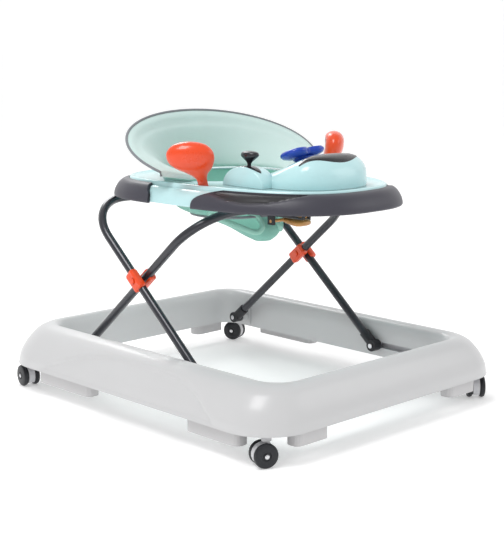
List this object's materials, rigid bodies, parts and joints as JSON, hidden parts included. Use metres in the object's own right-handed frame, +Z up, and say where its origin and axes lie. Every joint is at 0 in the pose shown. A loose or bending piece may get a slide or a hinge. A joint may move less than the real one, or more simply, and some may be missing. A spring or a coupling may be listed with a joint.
{
  "type": "baby walker",
  "caption": "Baby walker: ring base on twin-wheel swivel casters, folding scissor frame of bent tubes, play tray with toy console, mirrors and padded seat.",
  "frame": {"origin": "on the floor, midway between the base's front and rear edges and its two sides", "axes": "+Z up, the seated child faces -Y, X across the walker"},
  "size_m": [0.644, 0.748, 0.5413],
  "materials": {
    "shell_grey": "satin moulded polypropylene",
    "pad_grey": "soft matte grip strip",
    "wheel_black": "satin moulded",
    "fork_grey": "satin moulded",
    "bright_steel": "bright zinc-plated",
    "tube_charcoal": "glossy charcoal powder coat",
    "fitting_black": "satin moulded",
    "clip_orange": "semi-gloss moulded",
    "tray_mint": "gloss moulded",
    "bumper_anthracite": "soft satin",
    "toy_blue": "gloss moulded",
    "toy_dark": "satin moulded",
    "latch_amber": "translucent-looking moulded",
    "seat_fabric": "padded woven cover"
  },
  "bodies": {
    "base": {"base_shell": "shell_grey", "stop_pad_front_left": "pad_grey", "stop_pad_front_right": "pad_grey", "stop_pad_rear_left": "pad_grey", "stop_pad_rear_right": "pad_grey", "stop_pad_left_front": "pad_grey", "stop_pad_left_rear": "pad_grey", "stop_pad_right_front": "pad_grey", "stop_pad_right_rear": "pad_grey", "slide_rail_left": "fitting_black", "slide_rail_right": "fitting_black", "rear_hinge_bracket_left": "fitting_black", "rear_hinge_bracket_right": "fitting_black"},
    "frame_inner": {"inner_frame": "tube_charcoal", "rear_foot_left": "fitting_black", "rear_foot_right": "fitting_black", "rear_foot_pin_left": "bright_steel", "rear_foot_pin_right": "bright_steel", "inner_clip_left": "clip_orange", "inner_clip_right": "clip_orange", "crossing_pin_left": "bright_steel", "crossing_pin_right": "bright_steel"},
    "frame_outer": {"outer_frame": "tube_charcoal", "front_foot_left": "fitting_black", "front_foot_right": "fitting_black", "slide_pin_left": "bright_steel", "slide_pin_right": "bright_steel", "outer_clip_left": "clip_orange", "outer_clip_right": "clip_orange"},
    "tray": {"tray_top": "tray_mint", "bumper_front": "bumper_anthracite", "bumper_rear": "bumper_anthracite", "tray_hinge_clamp": "fitting_black", "height_rack": "fitting_black", "console": "tray_mint", "visor": "toy_dark", "seat_back": "seat_fabric", "seat_sling": "seat_fabric"},
    "fork_front_left": {"caster_yoke_front_left": "fork_grey", "caster_axle_front_left": "bright_steel"},
    "wheel_front_left_a": {"caster_wheel_front_left_a": "wheel_black"},
    "wheel_front_left_b": {"caster_wheel_front_left_b": "wheel_black"},
    "fork_front_right": {"caster_yoke_front_right": "fork_grey", "caster_axle_front_right": "bright_steel"},
    "wheel_front_right_a": {"caster_wheel_front_right_a": "wheel_black"},
    "wheel_front_right_b": {"caster_wheel_front_right_b": "wheel_black"},
    "fork_rear_left": {"caster_yoke_rear_left": "fork_grey", "caster_axle_rear_left": "bright_steel"},
    "wheel_rear_left_a": {"caster_wheel_rear_left_a": "wheel_black"},
    "wheel_rear_left_b": {"caster_wheel_rear_left_b": "wheel_black"},
    "fork_rear_right": {"caster_yoke_rear_right": "fork_grey", "caster_axle_rear_right": "bright_steel"},
    "wheel_rear_right_a": {"caster_wheel_rear_right_a": "wheel_black"},
    "wheel_rear_right_b": {"caster_wheel_rear_right_b": "wheel_black"},
    "steering_wheel": {"steering_wheel": "toy_blue"},
    "horn_button": {"horn_button": "toy_blue"},
    "gear_lever": {"gear_lever": "toy_dark"},
    "mirror_left": {"mirror_left": "clip_orange"},
    "mirror_right": {"mirror_right": "clip_orange"},
    "height_latch": {"height_latch": "latch_amber"}
  },
  "joints": [
    {"name": "frame_fold", "type": "hinge", "parent": "base", "child": "frame_inner", "pos_m": [0, 0.25269, 0.0765], "axis": [1, 0, 0], "range_deg": [-3, 28]},
    {"name": "scissor_pivot", "type": "hinge", "parent": "frame_inner", "child": "frame_outer", "pos_m": [0, 0.0625, 0.24183], "axis": [1, 0, 0], "range_deg": [-56, 6]},
    {"name": "tray_level", "type": "hinge", "parent": "frame_outer", "child": "tray", "pos_m": [0, 0.2142, 0.37369], "axis": [1, 0, 0], "range_deg": [-3, 28]},
    {"name": "swivel_front_left", "type": "hinge", "parent": "base", "child": "fork_front_left", "pos_m": [-0.283, -0.334, 0.05], "axis": [0, 0, 1], "continuous": true},
    {"name": "spin_front_left_a", "type": "hinge", "parent": "fork_front_left", "child": "wheel_front_left_a", "pos_m": [-0.28757, -0.33197, 0.021], "axis": [0.4067, 0.9135, 0], "continuous": true},
    {"name": "spin_front_left_b", "type": "hinge", "parent": "fork_front_left", "child": "wheel_front_left_b", "pos_m": [-0.28757, -0.33197, 0.021], "axis": [0.4067, 0.9135, 0], "continuous": true},
    {"name": "swivel_front_right", "type": "hinge", "parent": "base", "child": "fork_front_right", "pos_m": [0.283, -0.334, 0.05], "axis": [0, 0, 1], "continuous": true},
    {"name": "spin_front_right_a", "type": "hinge", "parent": "fork_front_right", "child": "wheel_front_right_a", "pos_m": [0.28647, -0.3304, 0.021], "axis": [0.7193, -0.6947, 0], "continuous": true},
    {"name": "spin_front_right_b", "type": "hinge", "parent": "fork_front_right", "child": "wheel_front_right_b", "pos_m": [0.28647, -0.3304, 0.021], "axis": [0.7193, -0.6947, 0], "continuous": true},
    {"name": "swivel_rear_left", "type": "hinge", "parent": "base", "child": "fork_rear_left", "pos_m": [-0.283, 0.334, 0.05], "axis": [0, 0, 1], "continuous": true},
    {"name": "spin_rear_left_a", "type": "hinge", "parent": "fork_rear_left", "child": "wheel_rear_left_a", "pos_m": [-0.28205, 0.33891, 0.021], "axis": [0.9816, -0.1908, 0], "continuous": true},
    {"name": "spin_rear_left_b", "type": "hinge", "parent": "fork_rear_left", "child": "wheel_rear_left_b", "pos_m": [-0.28205, 0.33891, 0.021], "axis": [0.9816, -0.1908, 0], "continuous": true},
    {"name": "swivel_rear_right", "type": "hinge", "parent": "base", "child": "fork_rear_right", "pos_m": [0.283, 0.334, 0.05], "axis": [0, 0, 1], "continuous": true},
    {"name": "spin_rear_right_a", "type": "hinge", "parent": "fork_rear_right", "child": "wheel_rear_right_a", "pos_m": [0.28113, 0.33864, 0.021], "axis": [0.9272, 0.3746, 0], "continuous": true},
    {"name": "spin_rear_right_b", "type": "hinge", "parent": "fork_rear_right", "child": "wheel_rear_right_b", "pos_m": [0.28113, 0.33864, 0.021], "axis": [0.9272, 0.3746, 0], "continuous": true},
    {"name": "steering_turn", "type": "hinge", "parent": "tray", "child": "steering_wheel", "pos_m": [0, -0.14, 0.47369], "axis": [0, 0.342, 0.9397], "range_deg": [-60, 60]},
    {"name": "horn_press", "type": "slide", "parent": "steering_wheel", "child": "horn_button", "axis": [0, 0.342, 0.9397], "range_m": [-0.003, 0], "stiffness_N_per_m": 150, "springref_m": 0.001},
    {"name": "gear_shift", "type": "hinge", "parent": "tray", "child": "gear_lever", "pos_m": [-0.1, -0.105, 0.44], "axis": [1, 0, 0], "range_deg": [-20, 20]},
    {"name": "mirror_turn_left", "type": "hinge", "parent": "tray", "child": "mirror_left", "pos_m": [-0.157, -0.047, 0.41919], "axis": [0, 0, 1], "range_deg": [-25, 25]},
    {"name": "mirror_turn_right", "type": "hinge", "parent": "tray", "child": "mirror_right", "pos_m": [0.157, -0.047, 0.41919], "axis": [0, 0, 1], "range_deg": [-25, 25]},
    {"name": "latch_press", "type": "hinge", "parent": "tray", "child": "height_latch", "pos_m": [0, -0.108, 0.35119], "axis": [1, 0, 0], "range_deg": [0, 20], "stiffness_Nm_per_rad": 0.3, "springref_deg": -11.46}
  ],
  "couplings": [
    {"joint": "scissor_pivot", "follows": "frame_fold", "ratio": -2},
    {"joint": "tray_level", "follows": "frame_fold", "ratio": 1}
  ]
}
